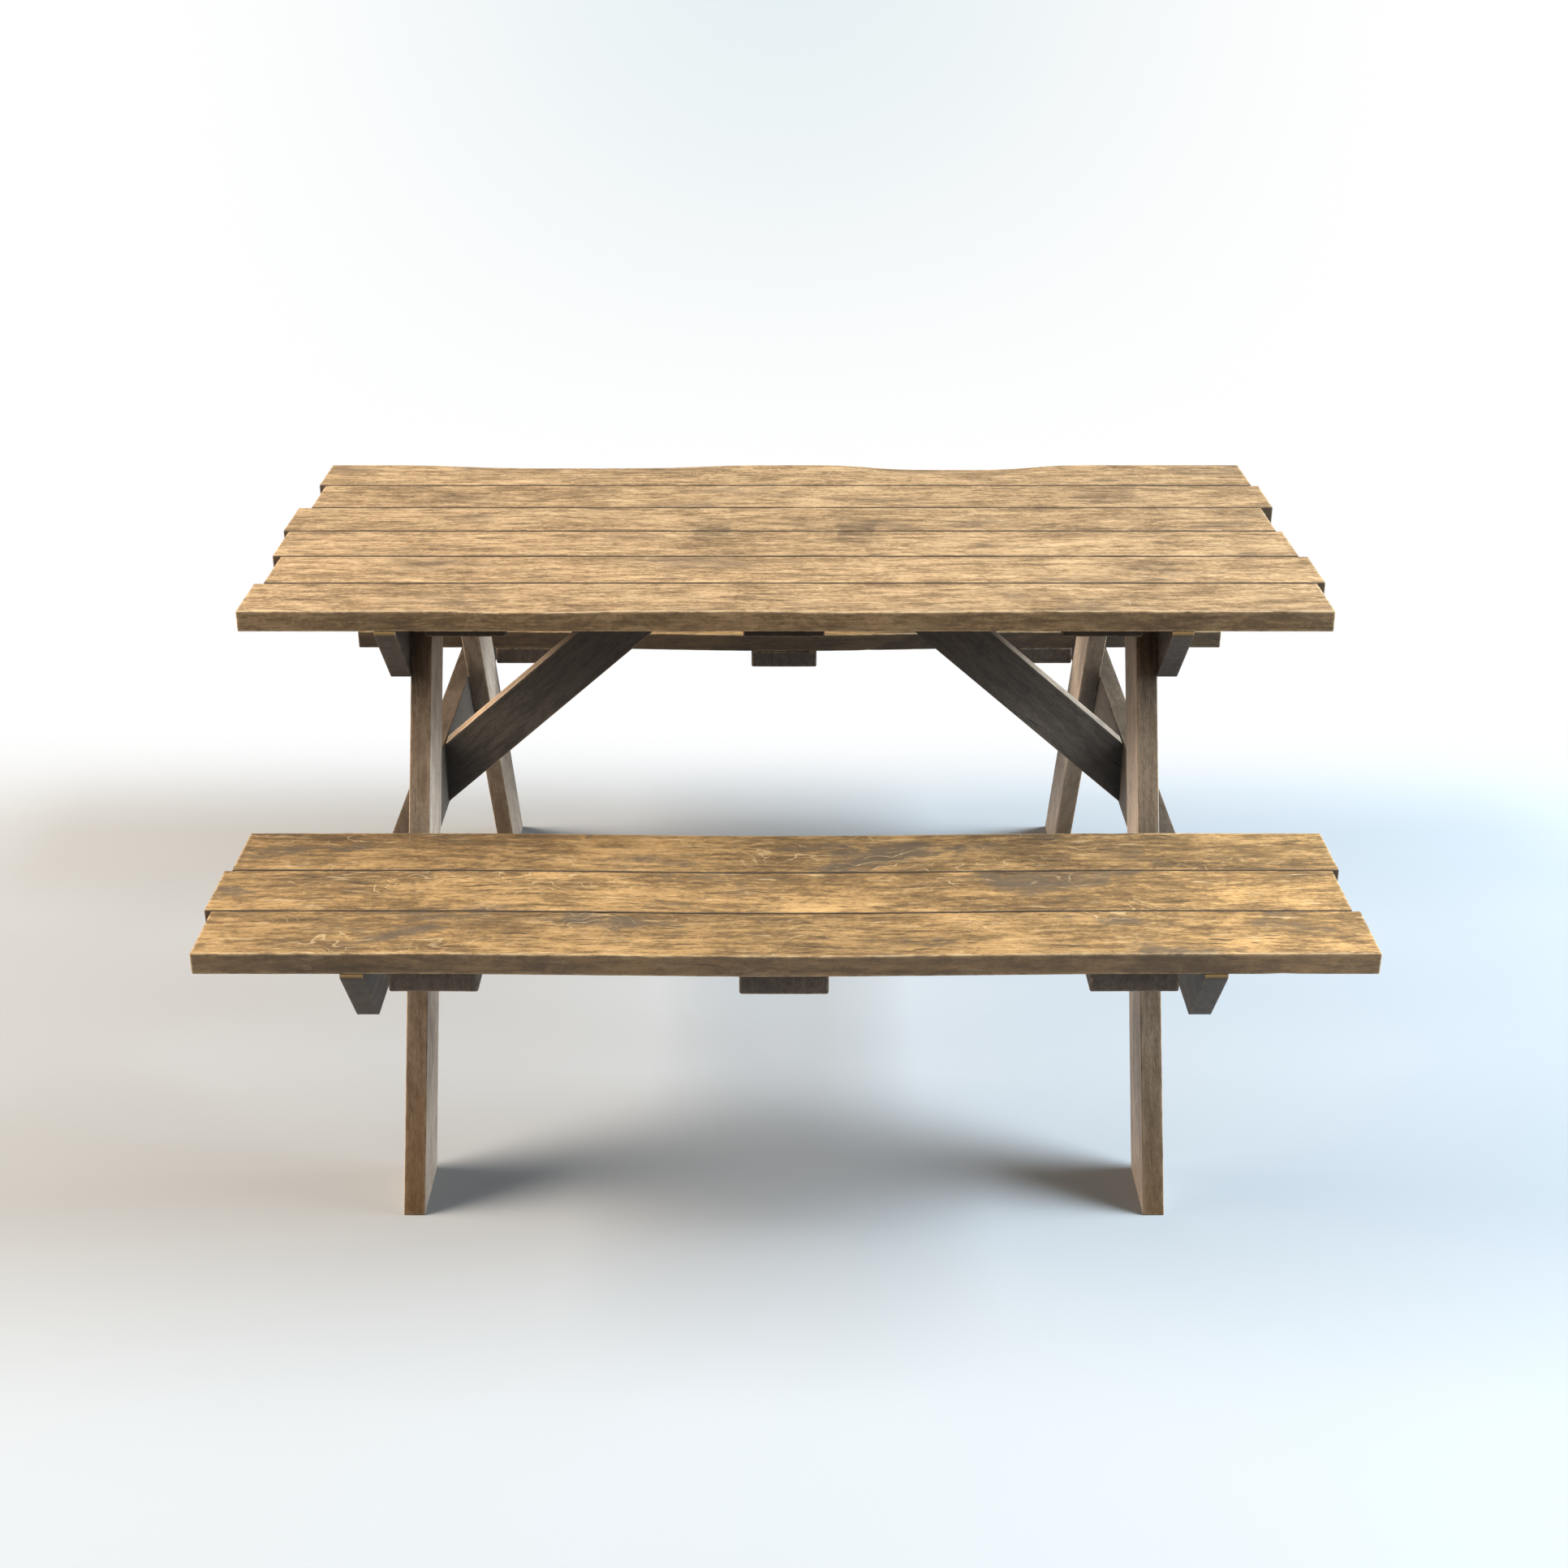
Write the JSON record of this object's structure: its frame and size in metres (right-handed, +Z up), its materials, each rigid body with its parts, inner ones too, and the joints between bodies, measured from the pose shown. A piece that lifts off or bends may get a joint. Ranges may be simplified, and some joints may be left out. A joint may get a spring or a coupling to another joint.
{
  "type": "picnic table",
  "caption": "Wooden picnic table with a slatted top, two fixed slatted seats, slanting A-frame legs and two diagonal braces.",
  "frame": {"origin": "on the floor, below the middle of the tabletop, which is the centre of the whole table's footprint", "axes": "+X along the planks, to the right of someone at the front seat facing the table; +Y from the front seat towards the rear seat; +Z up"},
  "size_m": [1.44, 1.41, 0.75],
  "materials": {
    "tabletop_timber": "weathered brown stain, satin, worn edges",
    "seat_timber": "weathered brown stain, satin, worn edges",
    "batten_timber": "dark stained underside timber, matt",
    "frame_timber": "dark brown stained timber with greyed faces, matt",
    "zinc_steel": "zinc plated, dull"
  },
  "bodies": {
    "root": {"tabletop_plank_1": "tabletop_timber", "tabletop_plank_2": "tabletop_timber", "tabletop_plank_3": "tabletop_timber", "tabletop_plank_4": "tabletop_timber", "tabletop_plank_5": "tabletop_timber", "tabletop_plank_6": "tabletop_timber", "front_seat_plank_inner": "seat_timber", "front_seat_plank_middle": "seat_timber", "front_seat_plank_outer": "seat_timber", "rear_seat_plank_inner": "seat_timber", "rear_seat_plank_middle": "seat_timber", "rear_seat_plank_outer": "seat_timber", "tabletop_batten_left": "batten_timber", "tabletop_batten_centre": "batten_timber", "tabletop_batten_right": "batten_timber", "front_seat_batten_left": "batten_timber", "front_seat_batten_centre": "batten_timber", "front_seat_batten_right": "batten_timber", "rear_seat_batten_left": "batten_timber", "rear_seat_batten_centre": "batten_timber", "rear_seat_batten_right": "batten_timber", "tabletop_bearer_left": "frame_timber", "tabletop_bearer_right": "frame_timber", "seat_bearer_left": "frame_timber", "seat_bearer_right": "frame_timber", "leg_front_left": "frame_timber", "leg_front_right": "frame_timber", "leg_rear_left": "frame_timber", "leg_rear_right": "frame_timber", "brace_left": "frame_timber", "brace_right": "frame_timber", "tabletop_coach_screws": "zinc_steel", "seat_coach_screws": "zinc_steel", "brace_coach_screws": "zinc_steel", "coach_screw_washers": "zinc_steel", "tabletop_batten_screws": "zinc_steel", "front_seat_batten_screws": "zinc_steel", "rear_seat_batten_screws": "zinc_steel", "tabletop_pocket_screws": "zinc_steel", "seat_pocket_screws": "zinc_steel", "brace_top_screws": "zinc_steel"}
  },
  "joints": []
}
